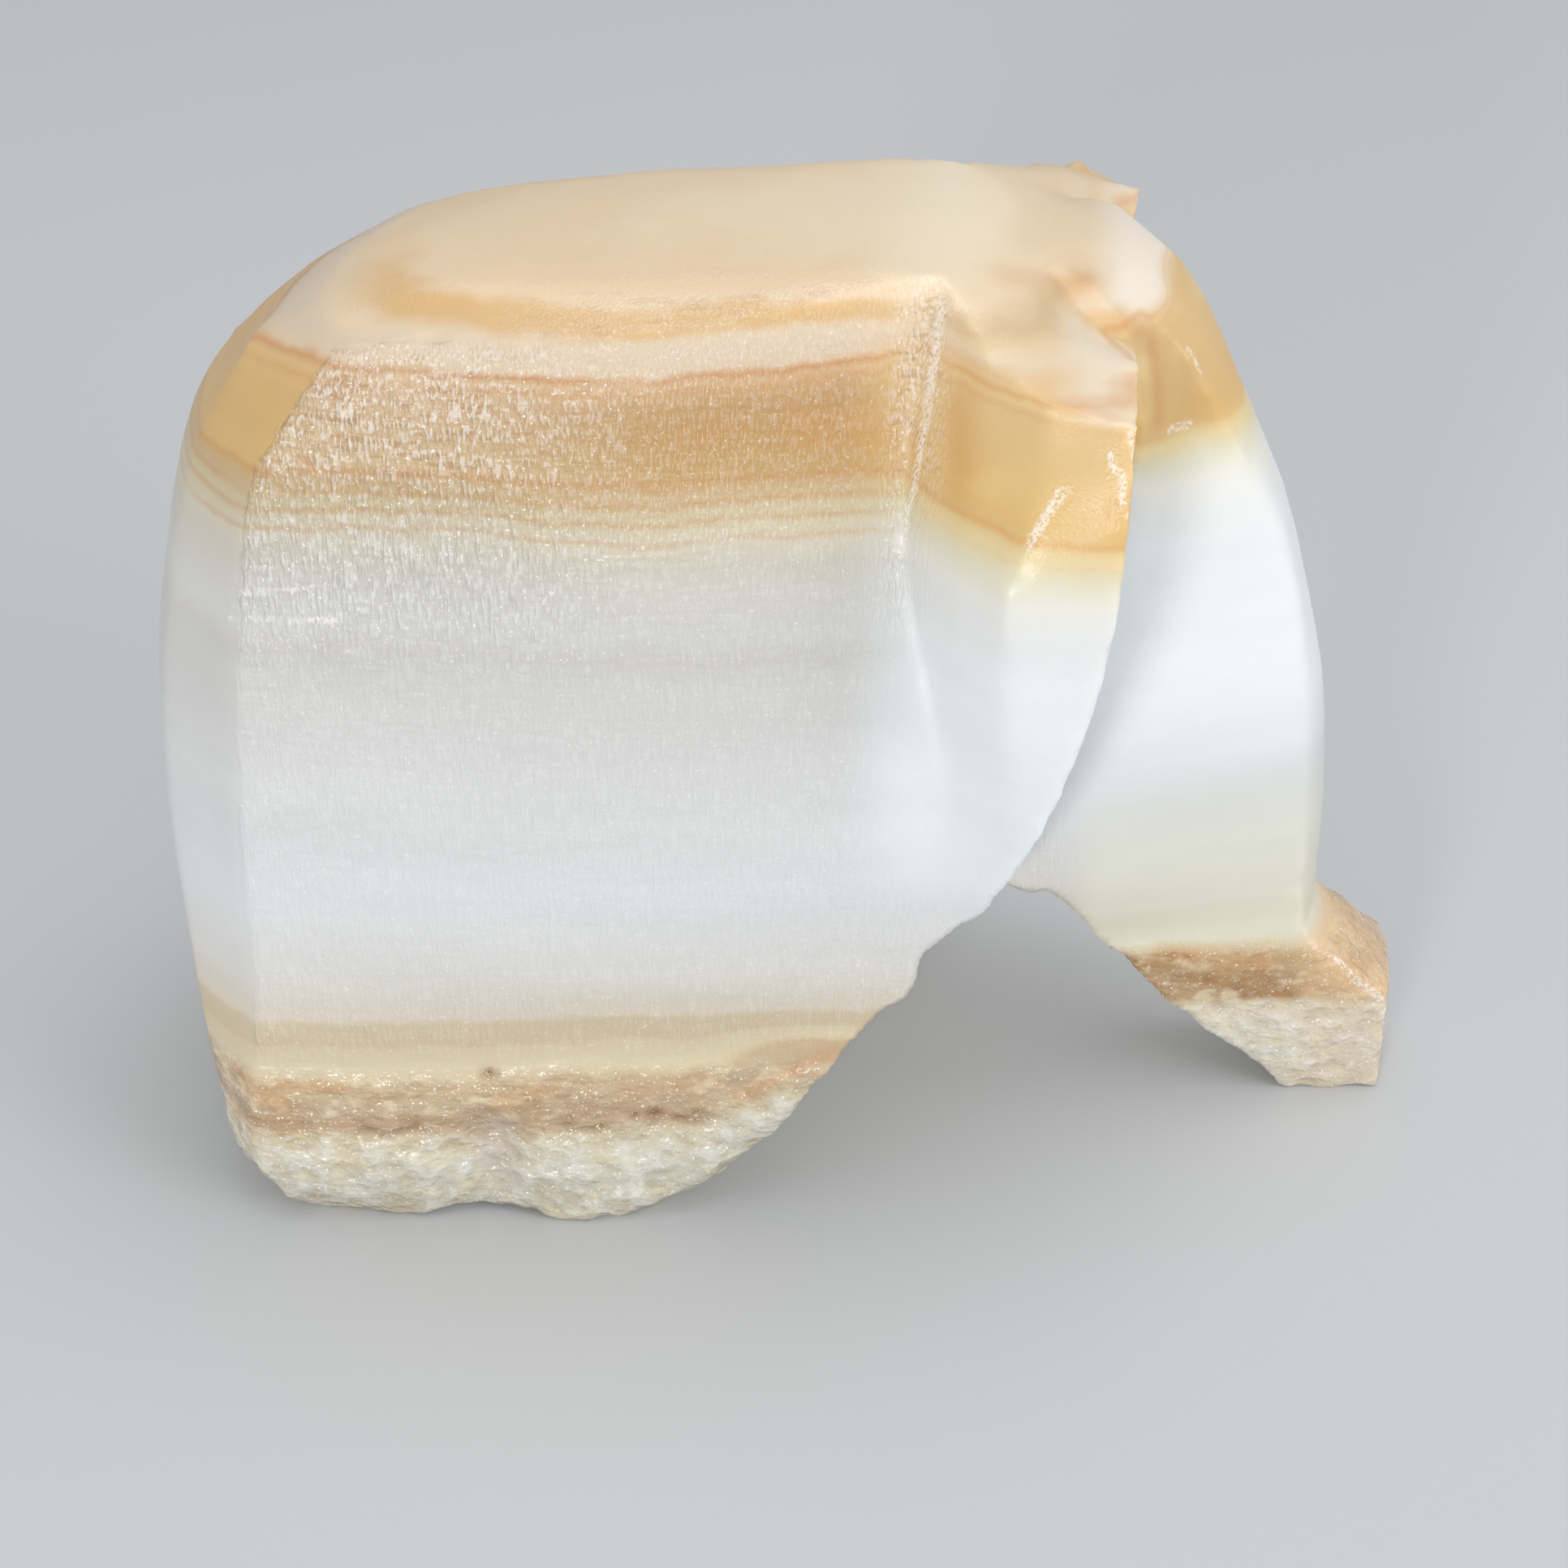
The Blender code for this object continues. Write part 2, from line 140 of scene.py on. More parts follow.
# Swells and dents of the outline, as (centre, reach, shift in x, y and z) in mm.
SWELLS = (
    ((6.4, -9.8, 16.3), 0.7, (0.18, 0.0, -0.22)), ((3.1, -10.0, 12.4), 1.4, (0.7, 0.0, -0.35)),
    ((8.6, -4.2, 13.1), 0.9, (0.1, 0.0, -0.4)), ((12.4, -3.0, 9.3), 1.2, (-0.22, 0.0, -0.25)),
    ((16.0, -2.8, 5.8), 1.2, (-0.1, 0.0, -0.15)), ((18.2, -2.7, 3.5), 1.8, (-0.1, 0.0, -0.3)),
    ((24.3, 1.0, 7.2), 2.0, (0.05, 0.0, 0.25)),
    ((9.7, 10.5, 37.9), 0.5, (0.0, 0.0, -0.45)), ((10.6, 10.5, 37.75), 0.5, (0.0, 0.0, 0.3)),
    ((12.4, 7.8, 37.7), 0.9, (0.1, 0.0, 0.2)), ((13.4, 1.5, 37.4), 1.6, (0.18, 0.0, 0.12)),
    ((16.4, -1.5, 32.3), 2.4, (0.17, 0.0, 0.1)),
    ((-23.7, -9.0, 3.1), 1.6, (-0.35, -0.1, -0.25)),
    ((-21.8, -10.3, 1.2), 1.8, (-0.1, -0.25, -0.15)),
    ((-13.1, -10.0, 1.2), 1.6, (0.0, -0.2, -0.6)), ((-8.4, -10.2, 0.4), 2.2, (0.0, -0.3, 0.0)),
    ((-4.6, -9.9, 2.0), 1.8, (0.25, -0.1, -0.25)), ((-1.9, -9.8, 5.0), 1.6, (0.2, 0.0, -0.2)),
)
# Brown stains soaked into the stone, and painted shade in the creases beside the ear's
# front edge (the first two), as (start, end, reach, strength) in mm.
STAINS_AND_SHADE = (
    # Painted shade in the creases beside the ear's front edge.
    ((11.8, -4.0, 36.9), (12.2, -4.5, 34.2), 0.45, 0.9),
    ((10.5, -4.4, 37.8), (11.4, -4.1, 37.5), 0.5, 0.8),
    ((9.25, -3.4, 38.97), (8.8, -3.9, 38.97), 0.55, 0.9),
    ((6.6, -4.3, 39.4), (9.2, -3.6, 38.97), 0.8, 0.55),
    ((4.6, -8.4, 36.6), (5.1, -9.8, 35.0), 0.9, 0.7),
    ((-0.3, -7.8, 35.6), (2.8, -7.5, 35.2), 1.0, 0.55),
    ((-5.5, -8.2, 35.4), (-2.5, -8.0, 35.6), 0.9, 0.35),
    ((8.7, -12.8, 35.0), (9.9, -12.6, 35.4), 0.5, 0.35),
    ((-22.9, -9.9, 7.5), (-21.4, -10.4, 6.6), 0.6, 0.75),
    ((-21.2, -10.4, 7.7), (-18.9, -10.4, 7.5), 0.3, 0.8),
    ((-12.6, -10.4, 6.6), (-10.6, -10.4, 7.2), 0.5, 0.6),
    ((-7.5, -10.2, 7.0), (-4.0, -10.0, 7.3), 0.5, 0.4),
    ((-3.0, -9.9, 6.3), (0.9, -9.8, 8.9), 0.35, 0.7),
    ((15.0, -2.7, 8.2), (19.5, -2.6, 7.4), 0.5, 0.7),
)
# Gouges left by the grinding wheel, as (start, end, width, depth) in mm. Their white
# scars are partly bruised stone and partly painted glints.
GOUGES = (
    ((4.2, -5.9, 39.2), (3.9, -6.8, 37.7), 0.3, 0.06),
    ((3.9, -6.8, 37.7), (3.7, -7.7, 35.8), 0.25, 0.06),
    ((3.7, -7.7, 35.8), (3.3, -8.5, 33.7), 0.22, 0.05),
    ((3.3, -8.5, 33.7), (2.95, -8.8, 31.2), 0.2, 0.04),
    ((7.9, -12.2, 35.6), (6.8, -12.9, 33.9), 0.2, 0.07),
    ((9.3, -11.9, 36.9), (9.6, -12.4, 36.2), 0.14, 0.05),
    ((9.7, -12.4, 36.3), (9.9, -13.0, 35.0), 0.16, 0.06),
    ((10.0, -11.8, 37.4), (10.5, -12.6, 35.6), 0.14, 0.06),
    ((13.3, -2.9, 36.2), (13.8, -2.9, 35.2), 0.16, 0.05),
    ((12.7, -3.9, 33.5), (13.5, -3.1, 33.3), 0.2, 0.04),
    ((-20.3, -8.6, 29.5), (-17.4, -9.0, 30.0), 0.13, 0.04),
    ((-20.8, -8.5, 28.4), (-16.8, -9.3, 28.8), 0.15, 0.05),
    ((22.2, -2.3, 8.2), (23.6, -2.4, 6.3), 0.16, 0.03),
    ((23.6, -2.4, 6.3), (25.0, -2.4, 5.1), 0.22, 0.03),
)


def linear(code):
    """Linear colour of an sRGB hex value."""
    parts = [int(code[i:i + 2], 16) / 255 for i in (0, 2, 4)]
    return [c / 12.92 if c <= 0.04045 else ((c + 0.055) / 1.055) ** 2.4 for c in parts]


def ease(low, high, value):
    """Smooth step from 0 at low to 1 at high."""
    t = np.clip((value - low) / (high - low), 0.0, 1.0)
    return t * t * (3 - 2 * t)


def add(tree, kind, inputs=None, out=0, **settings):
    """Add a node, set its properties, fill its inputs with values or links, give an output."""
    node = tree.nodes.new(kind)
    for name, value in settings.items():
        setattr(node, name, value)
    for key, value in (inputs or {}).items():
        socket = node.inputs[key]
        if isinstance(value, bpy.types.NodeSocket):
            tree.links.new(value, socket)
        elif socket.type == "RGBA":
            socket.default_value = (*value[:3], 1.0)
        else:
            socket.default_value = value
    return node.outputs[out]


class OnyxSettings(bpy.types.PropertyGroup):
    """Sizes and finish of the carving."""
    grid: bpy.props.FloatProperty(
        name="Grid", description="Size of the cells that the carving is meshed with",
        default=0.272 * MM, min=0.25 * MM, unit="LENGTH")
    softening: bpy.props.IntProperty(
        name="Softening", description="Rounds of smoothing that the faces get",
        default=12, min=0)
    waviness: bpy.props.FloatProperty(
        name="Waviness", description="Unevenness that hand grinding left on the faces",
        default=0.07 * MM, unit="LENGTH")
    edge_wear: bpy.props.FloatProperty(
        name="Edge wear", description="Depth of the small chips along the sharp edges",
        default=0.12 * MM, unit="LENGTH")
    crust: bpy.props.FloatProperty(
        name="Crust relief", description="Height of the lumps of the rough crust at the feet",
        default=0.16 * MM, unit="LENGTH")
    crust_top: bpy.props.FloatProperty(
        name="Crust top", description="Height where the rough crust begins",
        default=8.3 * MM, unit="LENGTH")
    valley: bpy.props.FloatProperty(
        name="Valley", description="Depth of the hollow between the two near feet",
        default=0.3 * MM, unit="LENGTH")
    line_colour: bpy.props.FloatVectorProperty(
        name="Line colour", description="Colour of the fine brown lines in the stone",
        subtype="COLOR", size=3, default=linear("bd8448"))
    milk_colour: bpy.props.FloatVectorProperty(
        name="Milk colour", description="Colour of the milky lumps in the crust",
        subtype="COLOR", size=3, default=linear("eceeea"))
    clay_colour: bpy.props.FloatVectorProperty(
        name="Clay colour", description="Colour of the brown streaks in the crust",
        subtype="COLOR", size=3, default=linear("a2815c"))
    # Brown of the stains, also used for the painted crease shade beside the ear.
    stain_and_shade_colour: bpy.props.FloatVectorProperty(
        name="Stain colour", description="Colour of the brown stains soaked into the stone",
        subtype="COLOR", size=3, default=linear("c68c4b"))
    # White of bruised calcite, also used to paint glints on scars and crystals.
    frost_and_glint_colour: bpy.props.FloatVectorProperty(
        name="Frost colour", description="Colour of bruised stone in scratches and crystals",
        subtype="COLOR", size=3, default=linear("fbf3ea"))
    scratch_spacing: bpy.props.FloatProperty(
        name="Scratch spacing", description="Distance between two grinding scratches",
        default=0.33 * MM, unit="LENGTH")
    scatter: bpy.props.FloatProperty(
        name="Scatter depth", description="How deep light goes into the stone",
        default=1.0 * MM, unit="LENGTH")


class StageSettings(bpy.types.PropertyGroup):
    """Floor, lights and camera."""
    floor: bpy.props.FloatProperty(
        name="Floor", description="Side of the floor", default=4.0, unit="LENGTH")
    floor_colour: bpy.props.FloatVectorProperty(
        name="Floor colour", description="Colour of the floor",
        subtype="COLOR", size=3, default=linear("c6c7c8"))
    elevation: bpy.props.FloatProperty(
        name="Elevation", description="How far the camera looks down",
        default=math.radians(36.0), subtype="ANGLE")
    distance: bpy.props.FloatProperty(
        name="Distance", description="From the camera to the point it looks at",
        default=0.096356, unit="LENGTH")


def merged_copy(name, node):
    """A new object with a copy of a node's mesh, its loose triangles merged."""
    bm = bmesh.new()
    bm.from_mesh(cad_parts[node].data)
    bmesh.ops.remove_doubles(bm, verts=bm.verts[:], dist=MERGE_DISTANCE)
    mesh = bpy.data.meshes.new(name)
    bm.to_mesh(mesh)
    bm.free()
    piece = bpy.data.objects.new(name, mesh)
    bpy.context.scene.collection.objects.link(piece)
    return piece


def fine_mesh(piece, grid, rounds):
    """Mesh the piece anew with even cells, smooth its faces and keep its edges crisp."""
    plain = bmesh.new()
    plain.from_mesh(piece.data)
    ridge = []
    for edge in plain.edges:
        a, b = (vert.co for vert in edge.verts)
        level = (a.z + b.z) / 2 / MM
        angle = edge.calc_face_angle(0.0)
        blended = EAR_LEVELS[0] < level < EAR_LEVELS[1] and angle < CRISP_EAR_ANGLE
        if angle > CRISP_ANGLE and not blended:
            steps = max(1, round((b - a).length / grid))
            ridge += [a.lerp(b, (i + 0.5) / steps) for i in range(steps)]
    plain.free()
    finder = KDTree(len(ridge))
    for i, point in enumerate(ridge):
        finder.insert(point, i)
    finder.balance()

    cells = piece.modifiers.new("grid", "REMESH")
    cells.mode = "SHARP"
    cells.octree_depth = OCTREE_DEPTH
    cells.scale = max(piece.dimensions) / (grid * 2 ** OCTREE_DEPTH)
    shown = piece.evaluated_get(bpy.context.evaluated_depsgraph_get())
    mesh = bpy.data.meshes.new_from_object(shown)
    piece.modifiers.remove(cells)
    bm = bmesh.new()
    bm.from_mesh(mesh)
    away = bm.verts.layers.float.new("edge")
    for vert in bm.verts:
        vert[away] = finder.find(vert.co)[2] / MM
    # The last round takes in the edges too, so that they lose the grid's steps.
    free = [vert for vert in bm.verts if vert[away] > EDGE_MARGIN]
    for i in range(rounds + 1):
        bmesh.ops.smooth_vert(
            bm, verts=free if i < rounds else bm.verts[:], factor=0.5,
            use_axis_x=True, use_axis_y=True, use_axis_z=True)
    bm.to_mesh(piece.data)
    bm.free()


def lumps(points, size, seed):
    """Smooth noise from -1 to 1 at each point, with features of a size."""
    shift = Vector((seed * 13.7, seed * 7.1, seed * 3.3))
    return np.array([noise.noise(Vector(p) / size + shift) for p in points])


def stroke(points, start, end, reach):
    """1 on the line from start to end, falling softly to 0 beyond its reach."""
    along = np.subtract(end, start)
    share = np.clip((points - start) @ along / (along @ along), 0.0, 1.0)
    off = np.linalg.norm(points - start - share[:, None] * along, axis=1)
    return np.exp(-(off / reach) ** 2)


def carve_surface(piece, settings):
    """Give the piece its ground faces, worn edges, gouges, and the crust at its feet."""
    mesh = piece.data
    count = len(mesh.vertices)
    co = np.empty(count * 3)
    mesh.vertices.foreach_get("co", co)
    co = co.reshape(-1, 3) / MM
    normals = np.empty(count * 3)
    mesh.vertices.foreach_get("normal", normals)
    normals = normals.reshape(-1, 3)
    edge = np.empty(count)
    mesh.attributes["edge"].data.foreach_get("value", edge)
    x, y, z = co.T
    nx, ny, nz = normals.T
    ahead = x - FRONT_SKEW * y
    near = ease(-0.3, -0.7, ny) * ease(-4.0, -6.5, y)

    depth = -settings.waviness / MM * (0.7 * lumps(co, 4.0, 1) + 0.3 * lumps(co, 1.4, 2))
    worn = ease(0.7, 0.1, edge)
    depth += worn * settings.edge_wear / MM * np.clip(0.2 - 1.2 * lumps(co, 0.9, 3), 0.0, 1.0)

    # Gouges: the dip, and a white scar that the material shows, partly bruised stone and
    # partly a painted glint.
    scar_and_glint = np.zeros(count)
    for start, end, width, deep in GOUGES:
        here = stroke(co, start, end, width)
        depth += deep * here
        scar_and_glint = np.maximum(scar_and_glint, here)
    # Stains, and the painted shade in the creases beside the ear.
    stain_and_shade = np.zeros(count)
    for start, end, reach, strength in STAINS_AND_SHADE:
        stain_and_shade = np.maximum(stain_and_shade, strength * stroke(co, start, end, reach))
    # The rim round the flat top, and the narrow facet below it, with a painted glint line
    # along the facet's edge, drawn as a faint scar.
    brow = ease(-18.0, -15.0, x) * ease(6.5, 4.5, ahead)
    brow = brow * ease(37.6, 38.4, z) * ease(0.7, 0.85, nz)
    scar_and_glint = np.maximum(scar_and_glint, 0.3 * brow * np.exp(-((ny + 0.2) / 0.08) ** 2))

    # The crust: rounded lumps below, a granular brown band above them.
    top = settings.crust_top / MM + 0.5 * lumps(co * (1, 1, 0), 4.0, 4)
    crust = ease(0.5, -0.5, z - top)
    low = ease(5.6, 4.6, z + 0.5 * lumps(co * (1, 1, 0), 2.5, 5))
    knobs = 1.7 * np.abs(lumps(co * (0.8, 0.8, 1.3), 1.3, 6)) - 0.5
    beads = 1.6 * np.abs(lumps(co, 0.7, 7)) - 0.45
    grains = lumps(co * (0.7, 0.7, 1.6), 0.8, 8)
    rough = low * (0.8 * knobs + 0.5 * beads) + (1 - low) * 0.4 * grains
    rough *= 0.25 + 0.75 * ease(0.2, 1.0, edge)
    relief = crust * settings.crust / MM * rough
    depth -= relief
    valley = near * np.exp(-(x - HOLLOW_X) ** 2) * ease(6.3, 4.6, z) * ease(0.6, 2.6, z)
    depth += valley * settings.valley / MM
    # Pits and cracks: a small dent, and a mask for the dark brown painted shade inside them.
    pit_and_shade = np.zeros(count)
    for px, pz, radius in PITS:
        off = np.hypot(x - px, z - pz)
        pit_and_shade = np.maximum(pit_and_shade, near * np.exp(-(off / radius) ** 2))
    for start, end, level in CRACKS:
        bend = level + 0.12 * np.sin(3.0 * x)
        crack = np.exp(-((z - bend) / 0.2) ** 2) * ease(start, start + 0.6, x)
        pit_and_shade = np.maximum(pit_and_shade, 0.9 * near * (crack * ease(end, end - 0.6, x)))
    depth += 0.35 * pit_and_shade

    # x, y and z move with the points from here on.
    co -= normals * depth[:, None]
    for centre, reach, shift in SWELLS:
        here = np.exp(-(np.linalg.norm(co - centre, axis=1) / reach) ** 2)
        co += here[:, None] * shift
    low_corner, high_corner = (np.array(corner) / MM for corner in CAD_BOX)
    co = np.clip(co, low_corner + BOX_MARGIN, high_corner - BOX_MARGIN)
    mesh.vertices.foreach_set("co", (co * MM).ravel())

    # Ears and head are thin and let light through; their layers are painted paler and bluer
    # as painted light for that glow. The lobe is the pale patch on their top.
    thin = ease(1.6, 5.4, ahead + 0.02 * (z - 30.0)) * ease(14.0, 20.0, z)
    head = ease(11.6, 13.2, ahead) * ease(28.0, 31.0, z)
    cheek = ease(12.1, 13.2, ahead + 0.3 * lumps(co, 2.0, 12))
    lobe = ease(9.4, 11.4, ahead) * (1 - cheek) * ease(37.4, 38.0, z) * ease(-4.6, -3.4, y)
    tip = 0.8 * ease(8.5, 10.5, ahead) * ease(-4.5, -6.0, y) * ease(37.5, 38.0, z + 0.2)
    lobe = np.maximum(lobe, tip)
    # The height in the stone's layers, which swell a little and bend down in the head.
    swell = 0.35 * lumps(co * (1, 1, 0.5), 9.0, 9) + 0.12 * lumps(co * (1, 1, 0.6), 2.2, 10)
    front = thin * ease(30.0, 33.0, z)
    height = z + (1 - 0.8 * front) * swell + 0.15 * front + 0.6 * head
    height -= 0.45 * thin * ease(35.2, 37.0, z) * ease(38.9, 38.1, z)
    height -= cheek * 0.8 * np.clip(z - 36.0, 0.0, 3.0)
    # The rough band climbs at the front of the near leg and dips between the feet.
    height -= 2.2 * ease(-4.2, 1.2, ahead) * ease(9.0, 5.0, ahead) * ease(10.8, 9.0, z)
    height += near * 0.9 * np.exp(-((x - HOLLOW_X) / 1.5) ** 2) * ease(7.5, 5.5, z)
    height += 0.35 * lumps(co * (1, 1, 0.4), 1.3, 11) * ease(9.4, 7.6, z)
    # Marks of the wheel on the sides, and where it bruised the stone. The bruised zone,
    # strongest at the rear, along the shoulder crease and on the rim's narrow facet, also
    # carries painted sheen and glints.
    wheel = ease(0.6, 0.85, np.abs(ny)) * ease(0.45, 0.3, np.abs(nx))
    wheel = wheel * (1 - thin) * ease(8.0, 10.0, z) * ease(12.0, 10.0, ahead)
    upper = ease(26.0, 31.0, z)
    bruised_and_sheen = wheel * ease(-4.0, -14.0, x) * upper * (0.35 + 0.65 * ease(38.4, 37.2, z))
    bruised_and_sheen = np.maximum(bruised_and_sheen, near * ease(1.5, 0.3, np.abs(ahead - 4.4)) * upper)
    bruised_and_sheen = np.maximum(bruised_and_sheen, 0.4 * brow * ease(-0.25, -0.36, ny) * ease(-13.0, -6.0, x))
    # The rim of the top, paler at the rear and on the far side.
    faded = np.maximum(ease(-14.0, -16.5, x), ease(-3.5, -1.0, y))
    faded = faded * ease(38.3, 38.7, z) * ease(39.9, 39.6, z)
    kick = ease(20.8, 22.6, ahead) * ease(9.5, 8.5, z)
    trunk = ease(10.5, 12.5, ahead) * ease(20.0, 14.0, z)
    zones = (
        height, thin, wheel, bruised_and_sheen, crust, relief, valley, pit_and_shade, scar_and_glint, stain_and_shade, faded, kick,
        head, lobe, trunk)
    for name, values in zip(ZONES, zones, strict=True):
        attribute = mesh.attributes.new(name, "FLOAT", "POINT")
        attribute.data.foreach_set("value", values.astype(np.float32))
    mesh.update()


def banded_onyx(settings):
    """Banded onyx, a calcite laid down in water, ground on a wheel and waxed.

    Light goes a little way in, so the stone glows softly, and calcite grains sparkle in
    the ground faces. Calcite has an IOR of about 1.5 to 1.66.
    """
    material = bpy.data.materials.new("banded_onyx_ground_and_waxed")
    material.use_nodes = True
    tree = material.node_tree
    shader = tree.nodes["Principled BSDF"]
    position = add(tree, "ShaderNodeTexCoord", out="Object")
    place = add(tree, "ShaderNodeVectorMath", {0: position, "Scale": 1 / MM}, operation="SCALE")
    masks = {
        zone: add(tree, "ShaderNodeAttribute", out="Fac", attribute_name=zone) for zone in ZONES}

    # Noises, as (features per mm, stretch, detail, roughness). Grinding scratches are
    # upright and level, at the spacing of a coarse grit, and grains are about 0.13 mm.
    # Finer ones wouldn't show in the render, so these are drawn as coarse as they show.
    grit = 1 / (settings.scratch_spacing / MM)
    noises = {}
    for name, scale, stretch, detail, roughness in (
        ("ripple", 0.9, (1, 1, 0.6), 1.0, 0.5),
        ("cloud", 0.12, (0.35, 0.35, 2.2), 2.0, 0.55),
        ("patch", 0.28, (0.8, 0.8, 1.4), 1.0, 0.5),
        ("streak", 0.5, (0.5, 0.5, 1.8), 4.0, 0.65),
        ("mottle", 0.75, (1, 1, 1.3), 2.0, 0.6),
        ("upright", 3.0 * grit, (1, 1, 0.11), 1.0, 0.5),
        ("level", 1.5 * grit, (0.16, 0.16, 1), 1.0, 0.5),
        ("grain", 8.0, (1, 1, 1), 1.0, 0.7),
        ("knobs", 1.1, (1, 1, 1.3), 2.0, 0.55),
    ):
        stretched = add(tree, "ShaderNodeVectorMath", {0: place, 1: stretch}, operation="MULTIPLY")
        noises[name] = add(
            tree, "ShaderNodeTexNoise", out="Fac",
            inputs={"Vector": stretched, "Scale": scale, "Detail": detail, "Roughness": roughness})

    # Sharpened masks, as (source, from, to), each running smoothly from 0 to 1.
    for name, source, low, high in (
        ("broken", noises["patch"], 0.15, 0.44),
        ("streaks", noises["streak"], 0.46, 0.66),
        ("mottles", noises["mottle"], 0.48, 0.66),
        ("pale", noises["mottle"], 0.5, 0.34),
        ("strokes", noises["upright"], 0.46, 0.64),
        ("breaks", noises["level"], 0.34, 0.52),
        ("threads", noises["level"], 0.53, 0.64),
        ("flecks", noises["grain"], 0.36, 0.52),
        ("scratch_and_glint", masks["scar_and_glint"], 0.25, 0.8),
        ("knob tops", noises["knobs"], 0.5, 0.66),
        ("knob feet", noises["knobs"], 0.46, 0.34),
        ("crystals_and_glints", noises["grain"], 0.64, 0.76),
        ("hollow", masks["relief"], -0.03, -0.16),
        ("bulge", masks["relief"], 0.02, 0.12),
        ("lump zone", masks["height"], 5.6, 4.8),
        ("band zone", masks["height"], 8.6, 7.6),
        ("band foot", masks["height"], 4.9, 5.5),
        ("gold", masks["height"], 33.6, 34.4),
        ("below line", masks["height"], 37.7, 37.1),
        ("over band", masks["height"], 8.3, 9.0),
        ("upper", masks["height"], 14.0, 22.0),
    ):
        masks[name] = add(
            tree, "ShaderNodeMapRange", {"Value": source, "From Min": low, "From Max": high},
            interpolation_type="SMOOTHSTEP")

    # What a mask leaves of 1, as (mask, its share).
    for name, mask, share in (
        ("thick", "thin", 1.0), ("polished", "wheel", 1.0), ("beside head", "head", 0.7),
    ):
        masks[name] = add(
            tree, "ShaderNodeMath", {0: masks[mask], 1: -share, 2: 1.0}, operation="MULTIPLY_ADD")
    # Where two masks meet.
    for name, first, second in (
        ("honey", "gold", "below line"), ("nicks_and_glints", "strokes", "breaks"),
        ("lumps", "crust", "lump zone"), ("below band top", "crust", "band zone"),
        ("band", "below band top", "band foot"),
    ):
        masks[name] = add(
            tree, "ShaderNodeMath", {0: masks[first], 1: masks[second]}, operation="MULTIPLY")

    # The layers, whose borders ripple by about a tenth of a millimetre.
    shift = add(
        tree, "ShaderNodeMath", {0: noises["ripple"], 1: 0.3, 2: -0.15}, operation="MULTIPLY_ADD")
    level = add(tree, "ShaderNodeMath", {0: masks["height"], 1: shift}, operation="ADD")
    line_stops = [(at, "000000") for at in LINE_LEVELS]
    line_stops[1:1] = [
        (at + side, "000000")
        for at, *_ in LINES for side in (-LINE_HALF_WIDTH, 0, LINE_HALF_WIDTH)]
    colours = []
    for layers in (LOWER_LAYERS, THICK_LAYERS, THIN_GLOW_LAYERS, line_stops):
        low, high = layers[0][0], layers[-1][0]
        share = add(
            tree, "ShaderNodeMapRange", {"Value": level, "From Min": low, "From Max": high})
        colour = add(tree, "ShaderNodeValToRGB", {"Fac": share})
        stops = colour.node.color_ramp.elements
        for at, _ in layers[1:-1]:
            stops.new((at - low) / (high - low))
        for stop, (_, code) in zip(stops, layers):
            stop.color = (*linear(code), 1.0)
        colours.append(colour)
    lower, thick, thin_glow, lines = colours
    # The middle stop of each line holds its strength in the body and in the front.
    for stop, (_, body, front) in zip(list(lines.node.color_ramp.elements)[2::3], LINES):
        stop.color = (body, front, 0.0, 1.0)
    split = add(tree, "ShaderNodeSeparateColor", {0: lines})
    masks["line"] = add(
        tree, "ShaderNodeMix", {"Factor": masks["thin"], "A": split, "B": split.node.outputs[1]})
    # The body's layers, or the thin front's paler layers of painted light.
    colour = add(
        tree, "ShaderNodeMix", {0: masks["thin"], 6: thick, 7: thin_glow}, out=2, data_type="RGBA")
    colour = add(
        tree, "ShaderNodeMix", {0: masks["upper"], 6: lower, 7: colour}, out=2, data_type="RGBA")

